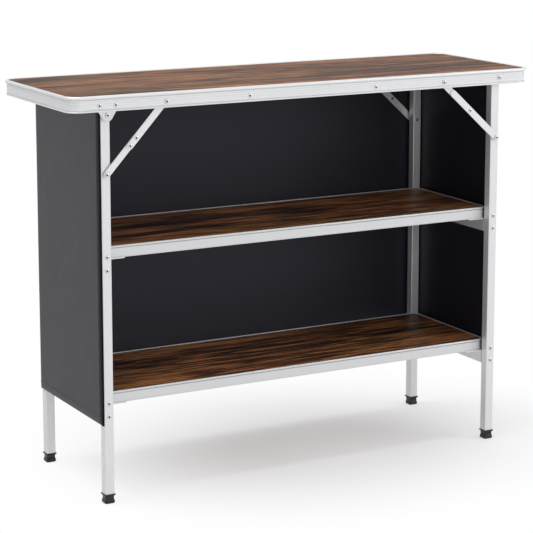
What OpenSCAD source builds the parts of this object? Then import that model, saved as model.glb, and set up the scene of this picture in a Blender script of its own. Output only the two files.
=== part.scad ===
// Folding bar table: a rimmed tabletop, two leg frames that fold in under it,
// four knee braces, two lift-out shelves and a cloth skirt on three sides.
// Millimetres. The origin is on the floor below the middle of the tabletop.
// X runs along the table, -Y is the open front, +Z is up.

/* [Tabletop] */
// Length of the tabletop over its rim
top_len = 1200; // [1150:1:1300]
// Depth of the tabletop over its rim
top_dep = 400; // [380:1:440]
// Height of the rim's top above the floor
top_height = 916; // [872:1:952]
// Outer corner radius of the tabletop rim
corner_r = 35; // [30:1:60]
// Height of the tabletop rim
rim_h = 35.5; // [33:0.5:45]
// Wall of the tabletop rim
rim_wall = 1.5; // [1:0.1:2.5]
// Radius of the round bead along the rim's top
bead_r = 4; // [3:0.1:5]
// Radius of the small lip along the rim's bottom
lip_r = 1.8; // [1:0.1:2.4]
// Thickness of the wood-grain board
board_t = 5; // [4:0.1:6]
// How far the board's face lies below the rim's top
board_drop = 1.5; // [1:0.1:2.5]
// Width of the ledge that the board sits on
ledge_w = 8; // [5:0.5:11]
// Thickness of that ledge
ledge_t = 1.5; // [1:0.1:2]

/* [Legs] */
// Side of the square leg tube
leg_w = 22; // [20:0.5:25]
// Wall of the leg tube
leg_wall = 1.5; // [1:0.1:2.5]
// Rounding of the leg tube's long edges
leg_edge = 2; // [1.6:0.1:3]
// How far the legs' outer faces stand in from the tabletop's ends
leg_set_x = 80; // [60:1:100]
// How far the legs' outer faces stand in from the tabletop's front and rear
leg_set_y = 19; // [18:0.5:25]
// How far a leg reaches above its pivot
leg_head = 4; // [2:0.5:4.5]
// Radius of the pins that the legs turn on
leg_pin_r = 4; // [3:0.1:5]
// Radius of the cross tube between a pair of legs
tie_r = 8; // [7:0.5:10]

/* [Feet] */
// Height of a foot below its leg
foot_h = 22; // [18:1:32]
// Width of the foot's flange
foot_w = 25; // [24:0.5:27]
// Thickness of the foot's flange
foot_flange = 2.5; // [1.5:0.1:4]
// Width of the foot's square neck
neck_w = 20.5; // [16:0.5:22]
// Width of the foot's square pad
pad_w = 24.4; // [22:0.1:24.8]
// Rounding of the pad's corners
pad_edge = 5; // [3:0.5:8]
// Height of the pad
pad_h = 8.5; // [6:0.5:12]
// Length of the plug inside the leg
plug_h = 14; // [8:1:30]

/* [Knee braces] */
// Distance from an end pivot of a left brace to its knee
left_arm = 103.6; // [103:0.1:107]
// Distance along the rim from the left leg pivot to its braces' upper pivots
reach_left = 140; // [137:0.5:143]
// Distance along the rim from the right leg pivot to its braces' upper pivots
reach_right = 157; // [152:0.5:162]
// How far the folded lower bar's pivot stops short of the upper one, on the right
hang_off = 12; // [11.8:0.1:14]
// Width of an outer brace bar
bar_w = 16; // [14:0.5:17]
// Width of an inner brace bar
inner_bar_w = 15; // [13:0.5:16]
// Thickness of a brace bar
bar_t = 2; // [1.5:0.1:2.4]
// Overlap of the left upper bar past the knee
left_tail = 30; // [26:0.5:40]
// Overlap of the right lower bar past the knee
right_tail = 64; // [56:0.5:66]
// Overlap of the left lower bar past the knee
inner_tail = 12; // [10:0.5:16]
// Overlap of the right upper bar past the knee
right_inner_tail = 84; // [60:1:86]
// Distance of that bar's lock stud from the knee
right_stud_off = 30; // [20:1:36]
// How far below the knee the right braces' visible rivet sits
right_rivet_off = 8; // [0:0.5:12]
// Distance of the lock stud from the knee
stud_off = 22; // [16:0.5:24]
// Radius of the brace pins
brace_pin_r = 3; // [2:0.1:3.1]
// Thickness of the clips that the right braces hang from
hanger_t = 1.5; // [1:0.1:1.6]
// Width of those clips
hanger_w = 12; // [10:0.5:12.5]

/* [Shelves] */
// Height of the upper shelf's rim above the floor
mid_top = 578; // [532:1:612]
// Height of the lower shelf's rim above the floor
low_top = 249; // [222:1:292]
// How far a shelf's ends stand in from the legs' outer faces
shelf_set = 9; // [8:0.5:15]
// Height of a shelf's rim
shelf_rim_h = 27.5; // [24:0.5:34]
// Outer corner radius of a shelf
shelf_r = 20; // [16:1:30]
// Radius of the bead along a shelf's rim
shelf_bead = 2.6; // [2:0.1:3.5]
// Thickness of a shelf board
shelf_t = 5; // [4:0.1:6]
// Wall of a shelf's rim
shelf_wall = 1.3; // [1:0.1:2]
// Depth of the end bar below a shelf
bar_drop = 31.5; // [26:0.5:40]
// Metal thickness of the end bar
end_bar_t = 2; // [1.5:0.1:3]
// Width of the end bar's inner flange below the shelf
inner_flange = 44; // [30:1:60]
// Distance of the end bar's web from the leg's centre line
web_off = 9; // [8:0.5:10]
// Width of the upper shelf's outer flange on its end bars
outer_flange = 18; // [17:0.5:18.5]
// How much narrower the lower shelf's outer flange is, to pass the upper brackets
flange_step = 4; // [3:0.5:6]

/* [Shelf brackets] */
// Thickness of the bracket plate on a leg
hook_t = 1.2; // [0.8:0.1:1.4]
// How far the bracket's ledge stands out from its plate
hook_ledge = 1.6; // [1.2:0.1:1.8]
// Height of the bracket plate
hook_h = 54; // [48:1:60]
// Width of the bracket plate
hook_w = 18; // [14:0.5:19]
// Thickness of the bracket's ledge
hook_ledge_t = 2; // [1:0.1:3]
// Distance between a bracket's two rivets
rivet_gap = 30; // [24:1:34]

/* [Fasteners] */
// Radius of a rivet's head
rivet_head = 4.2; // [3:0.1:5]
// Height of a rivet's head
rivet_dome = 1.2; // [0.8:0.1:1.5]
// Radius of a rivet's shank
rivet_r = 2; // [1.5:0.1:2.5]
// Distance of the board clips from the middle of the table
clip_x = 164; // [120:1:200]
// Width of a board clip
clip_w = 24; // [16:1:40]
// Distance of the pivot bracket's rivets from its middle
bracket_rivet = 19; // [15:0.5:22]
// Thickness of the pivot bracket, and of a board clip
plate_t = 2; // [1.5:0.1:2.5]

/* [Skirt] */
// Thickness of the skirt's cloth
cloth_t = 1.6; // [1:0.1:2]
// Height of the skirt's hem above the floor
hem_z = 180; // [152:1:212]
// Width of the black binding along the side panels' front edges
cloth_front = 8; // [4:0.5:15]
// How far the right panel's binding stays behind the leg's front face
right_set_back = 8; // [6:0.5:12]
// Width of the notches in the back panel that the pins pass through
notch_w = 20; // [18:1:30]
// Height of the strips that the cloth is fixed to
strip_h = 22; // [12:1:26]
// Thickness of those strips
strip_t = 1.2; // [0.8:0.1:1.4]

/* [Clearances] */
// Running gap round a pin
pin_gap = 0.08; // [0.04:0.01:0.1]
// Gap round a rivet's shank
rivet_gap_r = 0.05; // [0.02:0.01:0.1]
// Gap between parts that pass or lie on each other
gap = 0.3; // [0.2:0.05:0.4]
// Gap between the folded legs, and between them and the board
fold_gap = 0.5; // [0.4:0.1:0.8]

/* [Hidden] */
$fn = 48;
SIDES = [-1, 1];
ROWS = [-1, 1];

METAL = [0.80, 0.81, 0.82];
STEEL = [0.66, 0.67, 0.68];
WOOD = [0.38, 0.22, 0.13];
CLOTH = [0.10, 0.10, 0.115];
PLASTIC = [0.06, 0.06, 0.065];

// The rim's face lies back from its bead by one bead radius.
face_y = top_dep / 2 - bead_r;
inner_y = face_y - rim_wall;
rim_z0 = top_height - rim_h;
board_z1 = top_height - board_drop;
board_z0 = board_z1 - board_t;
board_inset = 2 * bead_r + gap;
rim_ledge_z = board_z0 - ledge_t;
rivet_z = board_z0 - foot_w / 2 - 3;

// Legs: the right pair folds first, against the board, and the left pair under it.
legs_span = top_len - 2 * leg_set_x;
legs_depth = top_dep - 2 * leg_set_y;
leg_x = legs_span / 2 - leg_w / 2;
leg_y = legs_depth / 2 - leg_w / 2;
leg_face = legs_depth / 2;
leg_inner = leg_face - leg_w;
right_pivot_z = board_z0 - foot_w / 2 - fold_gap;
left_pivot_z = right_pivot_z - leg_w / 2 - foot_w / 2 - fold_gap;

// Brace bars lie in two layers in front of the front legs and behind the rear ones.
inner_y0 = leg_face + 3;
inner_y1 = inner_y0 + bar_t;
outer_y0 = inner_y1 + gap;
outer_y1 = outer_y0 + bar_t;

// Inner face of the hanger clips' lower leg
hanger_y0 = inner_y0 - gap - hanger_t;

// Shelves
shelf_len = legs_span - 2 * shelf_set;
shelf_out_y = leg_inner - hook_t - hook_ledge - gap - 0.2;
bar_end_y = leg_inner - hook_t - gap;
shelf_face_inset = 1.6;
shelf_inset = 2 * shelf_bead + gap;

// Skirt
cloth_x = legs_span / 2 + 4 * gap;
cloth_y = outer_y1 + rivet_dome + gap;

function pivot_z(side) = side < 0 ? left_pivot_z : right_pivot_z;
function reach(side) = side < 0 ? reach_left : reach_right;
// Height of a brace's lower pivot: on the right it folds up to hang_off from the upper one.
function low_pin_z(side) =
  side < 0 ? rivet_z - sqrt(pow(2 * left_arm, 2) - pow(reach_left, 2))
           : right_pivot_z - reach_right + hang_off;
function span(side) = norm([reach(side), rivet_z - low_pin_z(side)]);
function upper_arm(side) = side < 0 ? left_arm : (span(side) - hang_off) / 2;
function lower_arm(side) = span(side) - upper_arm(side);
function anchor_x(side) = side * (leg_x - reach(side));
// Slope of a straight brace, measured from the downward direction towards the leg.
function brace_turn(side) = side * atan2(reach(side), rivet_z - low_pin_z(side));
// The left upper bars and the right lower bars are the outer ones.
function is_outer(side, upper) = (side < 0) == upper;
function layer_y0(side, upper) = is_outer(side, upper) ? outer_y0 : inner_y0;

// A bar along Y from y0 to y1 with radius r, at x and z.
module rod(x, z, y0, y1, r) {
  translate([x, max(y0, y1), z])
    rotate([90, 0, 0]) cylinder(r = r, h = abs(y1 - y0));
}

// A rivet whose head stands on the face at y and points along dir, with its shank inwards.
module rivet(x, z, y, dir, shank) {
  rod(x, z, y, y + dir * rivet_dome * 0.5, rivet_head);
  rod(x, z, y, y + dir * rivet_dome, rivet_head * 0.72);
  rod(x, z, y - dir * shank, y + dir * rivet_dome * 0.5, rivet_r);
}

module rounded_square(size, r) {
  square([size, size - 2 * r], center = true);
  square([size - 2 * r, size], center = true);
  for (sx = SIDES, sy = SIDES)
    translate([sx * (size / 2 - r), sy * (size / 2 - r)]) circle(r = r);
}

module rounded_board(len, dep, r, t) {
  linear_extrude(t) {
    square([len, dep - 2 * r], center = true);
    square([len - 2 * r, dep], center = true);
    for (sx = SIDES, sy = SIDES)
      translate([sx * (len / 2 - r), sy * (dep / 2 - r)]) circle(r = r);
  }
}

// Rim section: x is the distance out from the rim's own corner centre, y the height.
module table_rim_section(out) {
  translate([out - bead_r, top_height - bead_r]) circle(r = bead_r);
  translate([out - bead_r - rim_wall, rim_z0]) square([rim_wall, rim_h - bead_r]);
  translate([out - bead_r - rim_wall + lip_r, rim_z0 + lip_r]) circle(r = lip_r);
  translate([out - board_inset - ledge_w, board_z0 - ledge_t])
    square([board_inset + ledge_w - bead_r, ledge_t]);
}

module shelf_rim_section(out, top) {
  translate([out - shelf_bead, top - shelf_bead]) circle(r = shelf_bead);
  translate([out - shelf_face_inset - shelf_wall, top - shelf_rim_h])
    square([shelf_wall, shelf_rim_h - shelf_bead]);
  translate([out - shelf_inset - ledge_w, top - board_drop - shelf_t - ledge_t])
    square([shelf_inset + ledge_w - shelf_face_inset, ledge_t]);
  translate([out - shelf_face_inset - 4, top - shelf_rim_h]) square([4, shelf_wall]);
}

// One straight side of a rim along X, at row -1 or 1.
module straight_rim(len, dep, r, row) {
  run = len - 2 * r;
  translate([-row * run / 2, row * (dep / 2 - r), 0])
    rotate([90, 0, row * 90]) linear_extrude(run) children();
}

// One end of a rim: two round corners and the short side between them.
module end_rim(len, dep, r, side) {
  run = dep - 2 * r;
  translate([side * (len / 2 - r), side * run / 2, 0])
    rotate([90, 0, side > 0 ? 0 : 180]) linear_extrude(run) children();
  for (row = ROWS)
    translate([side * (len / 2 - r), row * (dep / 2 - r), 0])
      rotate([0, 0, side > 0 ? (row > 0 ? 0 : -90) : (row > 0 ? 90 : 180)])
        rotate_extrude(angle = 90) children();
}

module rim_holes(row) {
  rod(anchor_x(-1), rivet_z, row * (inner_y - 1), row * (face_y + 1), brace_pin_r + rivet_gap_r);
  rod(anchor_x(1), rivet_z, row * (inner_y - 1), row * (face_y + 1), rivet_r + rivet_gap_r);
  for (side = SIDES)
    rod(side * clip_x, rivet_z, row * (inner_y - 1), row * (face_y + 1), rivet_r + rivet_gap_r);
  for (s = SIDES)
    rod(-leg_x + s * bracket_rivet, rivet_z, row * (inner_y - 1), row * (face_y + 1),
        rivet_r + rivet_gap_r);
  rod(leg_x, right_pivot_z, row * (inner_y - 1), row * (face_y + 1), leg_pin_r + rivet_gap_r);
}

module table_board() {
  color(WOOD)
    translate([0, 0, board_z0])
      rounded_board(top_len - 2 * board_inset, top_dep - 2 * board_inset, corner_r - board_inset,
                    board_t);
}

module straight_table_rim(row) {
  color(METAL)
    difference() {
      straight_rim(top_len, top_dep, corner_r, row) table_rim_section(corner_r);
      rim_holes(row);
    }
}

module end_table_rim(side) {
  color(METAL) end_rim(top_len, top_dep, corner_r, side) table_rim_section(corner_r);
}

// Drop bracket that lowers the left legs' pivot below the rim.
module left_pivot_brackets() {
  drop = rivet_z - left_pivot_z;
  wide = bracket_rivet + 6;
  nose = leg_w / 2 + 2.5;
  color(STEEL)
    for (row = ROWS)
      difference() {
        translate([-leg_x, row * inner_y, left_pivot_z])
          rotate([90, 0, 0])
            translate([0, 0, row > 0 ? 0 : -plate_t])
              linear_extrude(plate_t) {
                circle(r = nose);
                polygon([
                  [-wide, drop + 8], [wide, drop + 8], [wide, drop - 7],
                  [nose * 0.95, -nose * 0.31], [-nose * 0.95, -nose * 0.31], [-wide, drop - 7]
                ]);
              }
        rod(-leg_x, left_pivot_z, row * (inner_y - plate_t - 1), row * (inner_y + 1),
            leg_pin_r + rivet_gap_r);
        for (s = SIDES)
          rod(-leg_x + s * bracket_rivet, rivet_z, row * (inner_y - plate_t - 1),
              row * (inner_y + 1), rivet_r + rivet_gap_r);
      }
}

// Small angles that hold the board down on the rim's ledge.
module board_clips() {
  tall = board_z0 - ledge_t - rivet_z + 7;
  clip_in = inner_y - 7;
  color(STEEL)
    for (side = SIDES, row = ROWS)
      difference() {
        union() {
          translate([side * clip_x - clip_w / 2, row > 0 ? inner_y - plate_t : -inner_y, rivet_z - 7])
            cube([clip_w, plate_t, tall]);
          translate([side * clip_x - clip_w / 2, row > 0 ? clip_in : -inner_y,
                     board_z0 - ledge_t - plate_t])
            cube([clip_w, inner_y - clip_in, plate_t]);
        }
        rod(side * clip_x, rivet_z, row * (inner_y - plate_t - 1), row * (inner_y + 1),
            rivet_r + rivet_gap_r);
      }
}

module rim_rivets() {
  color(STEEL)
    for (row = ROWS) {
      for (side = SIDES)
        rivet(side * clip_x, rivet_z, row * face_y, row, rim_wall + plate_t);
      for (s = SIDES)
        rivet(-leg_x + s * bracket_rivet, rivet_z, row * face_y, row, rim_wall + plate_t);
    }
}

// Pins that the upper bars turn on. The left ones come straight from the rim, with a shoulder.
// The right ones are stubs in the hanger clips, so that the outer bar folds past them.
module brace_anchor_pins() {
  color(STEEL)
    for (row = ROWS) {
      rivet(anchor_x(-1), rivet_z, row * face_y, row, rim_wall);
      rod(anchor_x(-1), rivet_z, row * outer_y0, row * face_y, brace_pin_r);
      rod(anchor_x(-1), rivet_z, row * (outer_y1 + gap / 2), row * inner_y, brace_pin_r + 2.5);
      rivet(anchor_x(1), rivet_z, row * face_y, row, rim_wall + hanger_t);
      rod(anchor_x(1), rivet_z, row * hanger_y0, row * inner_y1, brace_pin_r);
    }
}

// Clips riveted inside the rim that reach over the bars and down behind them.
module brace_hangers() {
  tall = rim_ledge_z - rivet_z + hanger_w / 2;
  x0 = anchor_x(1) - hanger_w / 2;
  z0 = rim_ledge_z - tall;
  color(STEEL)
    for (row = ROWS)
      difference() {
        union() {
          translate([x0, row > 0 ? hanger_y0 : -hanger_y0 - hanger_t, z0])
            cube([hanger_w, hanger_t, tall]);
          translate([x0, row > 0 ? inner_y - hanger_t : -inner_y, z0])
            cube([hanger_w, hanger_t, tall]);
          translate([x0, row > 0 ? hanger_y0 : -inner_y, rim_ledge_z - hanger_t])
            cube([hanger_w, inner_y - hanger_y0, hanger_t]);
        }
        rod(anchor_x(1), rivet_z, row * (hanger_y0 - 1), row * (hanger_y0 + hanger_t + 1),
            brace_pin_r + rivet_gap_r);
        rod(anchor_x(1), rivet_z, row * (inner_y - hanger_t - 1), row * (inner_y + 1),
            rivet_r + rivet_gap_r);
      }
}

// Pins that the legs turn on: head outside, shoulder up to the leg, and on into the cross tube.
module leg_pivot_pins() {
  pin_in = leg_inner - 18;
  color(STEEL)
    for (side = SIDES, row = ROWS) {
      out = side < 0 ? inner_y : face_y;
      back = side < 0 ? inner_y - plate_t : inner_y;
      rivet(side * leg_x, pivot_z(side), row * out, row, 1);
      rod(side * leg_x, pivot_z(side), row * pin_in, row * out, leg_pin_r);
      rod(side * leg_x, pivot_z(side), row * (leg_face + gap), row * back, leg_pin_r + 3);
    }
}

// Front end of a side panel's binding
function bind_y(side) = -leg_face + (side > 0 ? right_set_back : 0);

module side_panel(side) {
  y0 = bind_y(side) + cloth_front;
  color(CLOTH)
    translate([side > 0 ? cloth_x : -cloth_x - cloth_t, y0, hem_z])
      cube([cloth_t, cloth_y - gap - y0, rim_ledge_z - hem_z]);
}

// Back panel, notched from its top edge round the pins of the rear legs and left brace.
module skirt_back() {
  top_z = rim_ledge_z - plate_t - gap;
  color(CLOTH)
    difference() {
      translate([-cloth_x - cloth_t, cloth_y, hem_z])
        cube([2 * (cloth_x + cloth_t), cloth_t, top_z - hem_z]);
      for (side = SIDES)
        translate([side * leg_x - notch_w / 2, cloth_y - 1, pivot_z(side) - notch_w / 2])
          cube([notch_w, cloth_t + 2, rim_h + notch_w]);
      translate([anchor_x(-1) - notch_w / 2, cloth_y - 1, rivet_z - notch_w / 2])
        cube([notch_w, cloth_t + 2, rim_h + notch_w]);
    }
}

// Black tape along the front edge of each side panel.
module skirt_bindings() {
  color(PLASTIC)
    for (side = SIDES)
      translate([side > 0 ? cloth_x - gap : -cloth_x - cloth_t - gap, bind_y(side), hem_z])
        cube([cloth_t + 2 * gap, cloth_front, rim_z0 - hem_z]);
}

// Strips below the board that the cloth's top edge is pressed onto.
module skirt_strips() {
  side_len = 2 * (leg_face - cloth_front - ledge_w);
  color(PLASTIC) {
    for (side = SIDES)
      translate([side > 0 ? cloth_x + cloth_t : -cloth_x - cloth_t - strip_t, -side_len / 2,
                 board_z0 - strip_h])
        cube([strip_t, side_len, strip_h]);
    for (s = [-1, 0, 1]) {
      x0 = s < 0 ? anchor_x(-1) + notch_w : s > 0 ? clip_x + clip_w : clip_w - clip_x;
      x1 = s < 0 ? -clip_x - clip_w : s > 0 ? anchor_x(1) - notch_w : clip_x - clip_w;
      translate([x0, cloth_y + cloth_t, rim_ledge_z - strip_h]) cube([x1 - x0, strip_t, strip_h]);
    }
  }
}

// Height of a bracket's lower rivet below its shelf's top.
function hook_z0(top) = top - shelf_rim_h - bar_drop - gap - hook_ledge_t;

module leg_holes(side, row) {
  rod(side * leg_x, pivot_z(side), row * (leg_inner - 1), row * (leg_face + 1), leg_pin_r + pin_gap);
  for (top = [mid_top, low_top], k = [0, 1])
    rod(side * leg_x, hook_z0(top) + (hook_h - rivet_gap) / 2 + k * rivet_gap,
        row * (leg_inner - 1), row * (leg_face + 1), rivet_r + rivet_gap_r);
  rod(side * leg_x, low_pin_z(side), row * (leg_inner - 1), row * (leg_face + 1),
      brace_pin_r + rivet_gap_r);
}

module leg(side, row) {
  color(METAL)
    difference() {
      translate([side * leg_x, row * leg_y, foot_h])
        linear_extrude(pivot_z(side) + leg_head - foot_h)
          difference() {
            rounded_square(leg_w, leg_edge);
            rounded_square(leg_w - 2 * leg_wall, leg_edge - leg_wall + 0.4);
          }
      leg_holes(side, row);
    }
}

module tie_tube(side) {
  color(METAL)
    difference() {
      rod(side * leg_x, pivot_z(side), -leg_inner, leg_inner, tie_r);
      rod(side * leg_x, pivot_z(side), -leg_inner - 1, leg_inner + 1, leg_pin_r + pin_gap);
    }
}

module foot(side, row) {
  plug_w = leg_w - 2 * leg_wall - 2 * gap;
  color(PLASTIC)
    translate([side * leg_x, row * leg_y, 0]) {
      linear_extrude(pad_h) rounded_square(pad_w - 2, pad_edge - 1);
      translate([0, 0, 1.2]) linear_extrude(pad_h - 2.4) rounded_square(pad_w, pad_edge);
      translate([-neck_w / 2, -neck_w / 2, pad_h - 3]) cube([neck_w, neck_w, foot_h - pad_h + 1]);
      translate([-foot_w / 2, -foot_w / 2, foot_h - foot_flange]) cube([foot_w, foot_w, foot_flange]);
      translate([-plug_w / 2, -plug_w / 2, foot_h - 1]) cube([plug_w, plug_w, plug_h + 1]);
    }
}

// Bracket plates on the legs' inner faces
module shelf_brackets(side) {
  color(STEEL)
    for (row = ROWS, top = [mid_top, low_top]) {
      z0 = hook_z0(top);
      difference() {
        translate([side * leg_x - hook_w / 2, row > 0 ? leg_inner - hook_t : -leg_inner, z0])
          cube([hook_w, hook_t, hook_h]);
        for (k = [0, 1])
          rod(side * leg_x, z0 + (hook_h - rivet_gap) / 2 + k * rivet_gap,
              row * (leg_inner - hook_t - 1), row * (leg_inner + 1), rivet_r + rivet_gap_r);
      }
    }
}

// Ledges at the foot of those plates, which the end bars rest on. The upper ledges
// reach in only so far that the lower shelf's bars rise past them.
module shelf_ledges(side) {
  ledge_out = leg_inner - hook_t;
  color(STEEL)
    for (row = ROWS, top = [mid_top, low_top]) {
      shelf_ledge = top == mid_top ? flange_step : hook_w / 2;
      translate([side > 0 ? leg_x + hook_w / 2 - shelf_ledge : -leg_x - hook_w / 2,
                 row > 0 ? ledge_out - hook_ledge : -ledge_out, hook_z0(top)])
        cube([shelf_ledge, hook_ledge, hook_ledge_t]);
    }
}

module leg_rivets(side) {
  color(STEEL)
    for (row = ROWS, top = [mid_top, low_top], k = [0, 1])
      rivet(side * leg_x, hook_z0(top) + (hook_h - rivet_gap) / 2 + k * rivet_gap, row * leg_face,
            row, leg_w + hook_t);
}

// Studs through the legs that the lower bars turn on: head inside the frame, washer, outer head.
module brace_studs(side) {
  x = side * leg_x;
  z = low_pin_z(side);
  bar_y1 = layer_y0(side, false) + bar_t;
  color(STEEL)
    for (row = ROWS) {
      rod(x, z, row * leg_inner, row * (bar_y1 + gap / 2), brace_pin_r);
      rod(x, z, row * (leg_inner - rivet_dome), row * leg_inner, rivet_head);
      rod(x, z, row * leg_face, row * (inner_y0 - gap / 2), brace_pin_r + 1.9);
      rod(x, z, row * (bar_y1 + gap / 2), row * (bar_y1 + rivet_dome), rivet_head);
    }
}

// A flat bar with round ends, pivot hole at the origin, running down by run and tail.
module brace_bar(w, run, tail) {
  difference() {
    union() {
      cylinder(r = w / 2, h = bar_t);
      translate([-w / 2, -run - tail + w / 2, 0]) cube([w, run + tail - w / 2, bar_t]);
      translate([0, -run - tail + w / 2, 0]) cylinder(r = w / 2, h = bar_t);
    }
    translate([0, 0, -1]) cylinder(r = brace_pin_r + pin_gap, h = bar_t + 2);
    children();
  }
}

// A hole through a bar at this distance from its pivot.
module bar_hole(along, r) {
  translate([0, -along, -1]) cylinder(r = r, h = bar_t + 2);
}

module upper_bar(side, row) {
  y0 = layer_y0(side, true);
  color(METAL)
    translate([anchor_x(side), row > 0 ? y0 + bar_t : -y0, rivet_z])
      rotate([90, 0, 0])
        rotate([0, 0, brace_turn(side)])
          if (side < 0)
            brace_bar(bar_w, left_arm, left_tail) {
              bar_hole(left_arm, rivet_r + rivet_gap_r);
              bar_hole(left_arm + stud_off, rivet_r + rivet_gap_r);
            }
          else
            brace_bar(inner_bar_w, upper_arm(side), right_inner_tail) {
              bar_hole(upper_arm(side), brace_pin_r);
              bar_hole(upper_arm(side) + right_stud_off, rivet_r + rivet_gap_r);
            }
}

module lower_bar(side, row) {
  y0 = layer_y0(side, false);
  color(METAL)
    translate([side * leg_x, row > 0 ? y0 + bar_t : -y0, low_pin_z(side)])
      rotate([90, 0, 0])
        rotate([0, 0, 180 + brace_turn(side)])
          if (side < 0)
            brace_bar(inner_bar_w, lower_arm(side), inner_tail) bar_hole(lower_arm(side), brace_pin_r);
          else
            brace_bar(bar_w, lower_arm(side), right_tail)
              bar_hole(lower_arm(side) - right_rivet_off, rivet_r + rivet_gap_r);
}

// Lock stud of a right upper bar, with its head towards the inside of the frame
module lock_stud(row) {
  turn = brace_turn(1);
  d = upper_arm(1) + right_stud_off;
  color(STEEL)
    rivet(anchor_x(1) + d * sin(turn), rivet_z - d * cos(turn), row * inner_y0, -row, bar_t);
}

// Knee rivet of an outer bar, and on the left its lock stud.
module knee_rivets(side, row) {
  turn = brace_turn(side);
  offs = side < 0 ? [left_arm, left_arm + stud_off] : [upper_arm(side) + right_rivet_off];
  color(STEEL)
    for (d = offs)
      rivet(anchor_x(side) + d * sin(turn), rivet_z - d * cos(turn), row * outer_y1, row, bar_t);
}

module shelf_board(top) {
  color(WOOD)
    translate([0, 0, top - board_drop - shelf_t])
      rounded_board(shelf_len - 2 * shelf_inset, 2 * (shelf_out_y - shelf_inset),
                    shelf_r - shelf_inset, shelf_t);
}

module straight_shelf_rim(top, row) {
  color(METAL)
    straight_rim(shelf_len, 2 * shelf_out_y, shelf_r, row) shelf_rim_section(shelf_r, top);
}

module end_shelf_rim(top, side) {
  color(METAL) end_rim(shelf_len, 2 * shelf_out_y, shelf_r, side) shelf_rim_section(shelf_r, top);
}

// Z-shaped bar under a shelf's end: its outer flange rests on the legs' brackets.
module end_bar(top, side) {
  z1 = top - shelf_rim_h;
  web = leg_x - web_off;
  flange = top == mid_top ? outer_flange : outer_flange - flange_step;
  color(METAL)
    translate([0, bar_end_y, 0])
      rotate([90, 0, 0])
        linear_extrude(2 * bar_end_y)
          mirror([side > 0 ? 0 : 1, 0]) {
            translate([web - end_bar_t, z1 - bar_drop]) square([end_bar_t, bar_drop]);
            translate([web - inner_flange, z1 - end_bar_t]) square([inner_flange, end_bar_t]);
            translate([web - end_bar_t, z1 - bar_drop]) square([flange, end_bar_t]);
          }
}

module end_bars(top) {
  for (side = [-1, 1])
    end_bar(top, side);
}

table_board();
straight_table_rim(-1);  // rim_front
straight_table_rim(1);  // rim_rear
end_table_rim(-1);  // rim_left
end_table_rim(1);  // rim_right
left_pivot_brackets();
brace_hangers();
board_clips();
rim_rivets();
brace_anchor_pins();
leg_pivot_pins();
side_panel(-1);  // skirt_left
skirt_back();
side_panel(1);  // skirt_right
skirt_bindings();
skirt_strips();
leg(-1, -1);  // left_front_leg
leg(-1, 1);  // left_rear_leg
tie_tube(-1);  // left_tie_tube
foot(-1, -1);  // left_front_foot
foot(-1, 1);  // left_rear_foot
shelf_brackets(-1);  // left_shelf_brackets
shelf_ledges(-1);  // left_shelf_ledges
leg_rivets(-1);  // left_leg_rivets
brace_studs(-1);  // left_brace_studs
leg(1, -1);  // right_front_leg
leg(1, 1);  // right_rear_leg
tie_tube(1);  // right_tie_tube
foot(1, -1);  // right_front_foot
foot(1, 1);  // right_rear_foot
shelf_brackets(1);  // right_shelf_brackets
shelf_ledges(1);  // right_shelf_ledges
leg_rivets(1);  // right_leg_rivets
brace_studs(1);  // right_brace_studs
upper_bar(-1, -1);  // left_front_upper_bar
upper_bar(-1, 1);  // left_rear_upper_bar
upper_bar(1, -1);  // right_front_upper_bar
upper_bar(1, 1);  // right_rear_upper_bar
lower_bar(-1, -1);  // left_front_lower_bar
lower_bar(-1, 1);  // left_rear_lower_bar
lower_bar(1, -1);  // right_front_lower_bar
lower_bar(1, 1);  // right_rear_lower_bar
knee_rivets(-1, -1);  // left_front_knee_rivets
knee_rivets(-1, 1);  // left_rear_knee_rivets
knee_rivets(1, -1);  // right_front_knee_rivets
knee_rivets(1, 1);  // right_rear_knee_rivets
lock_stud(-1);  // right_front_lock_stud
lock_stud(1);  // right_rear_lock_stud
shelf_board(mid_top);  // mid_shelf_board
straight_shelf_rim(mid_top, -1);  // mid_shelf_rim_front
straight_shelf_rim(mid_top, 1);  // mid_shelf_rim_rear
end_shelf_rim(mid_top, -1);  // mid_shelf_rim_left
end_shelf_rim(mid_top, 1);  // mid_shelf_rim_right
end_bars(mid_top);  // mid_shelf_end_bars
shelf_board(low_top);  // low_shelf_board
straight_shelf_rim(low_top, -1);  // low_shelf_rim_front
straight_shelf_rim(low_top, 1);  // low_shelf_rim_rear
end_shelf_rim(low_top, -1);  // low_shelf_rim_left
end_shelf_rim(low_top, 1);  // low_shelf_rim_right
end_bars(low_top);  // low_shelf_end_bars
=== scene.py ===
import math

import bmesh
import bpy
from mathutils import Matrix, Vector


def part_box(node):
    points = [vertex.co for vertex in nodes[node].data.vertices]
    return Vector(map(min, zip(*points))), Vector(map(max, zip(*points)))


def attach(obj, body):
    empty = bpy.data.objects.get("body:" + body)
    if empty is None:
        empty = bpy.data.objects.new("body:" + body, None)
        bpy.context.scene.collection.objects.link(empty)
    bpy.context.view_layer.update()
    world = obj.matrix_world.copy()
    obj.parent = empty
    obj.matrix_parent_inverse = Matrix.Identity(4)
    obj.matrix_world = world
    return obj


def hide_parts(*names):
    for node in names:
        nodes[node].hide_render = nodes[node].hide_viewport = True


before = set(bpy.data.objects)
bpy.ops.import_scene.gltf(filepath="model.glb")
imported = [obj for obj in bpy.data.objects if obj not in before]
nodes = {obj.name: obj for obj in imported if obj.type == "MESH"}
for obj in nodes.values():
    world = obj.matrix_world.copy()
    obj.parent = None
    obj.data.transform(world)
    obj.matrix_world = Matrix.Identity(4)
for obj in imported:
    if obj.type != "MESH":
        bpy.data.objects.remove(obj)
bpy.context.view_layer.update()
mm = 0.001
hair = 1e-6  # metres; two places nearer than this are one place


# Small helpers

def nodeBox(name):
    low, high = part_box(name)
    return Vector(low), Vector(high)


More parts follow.
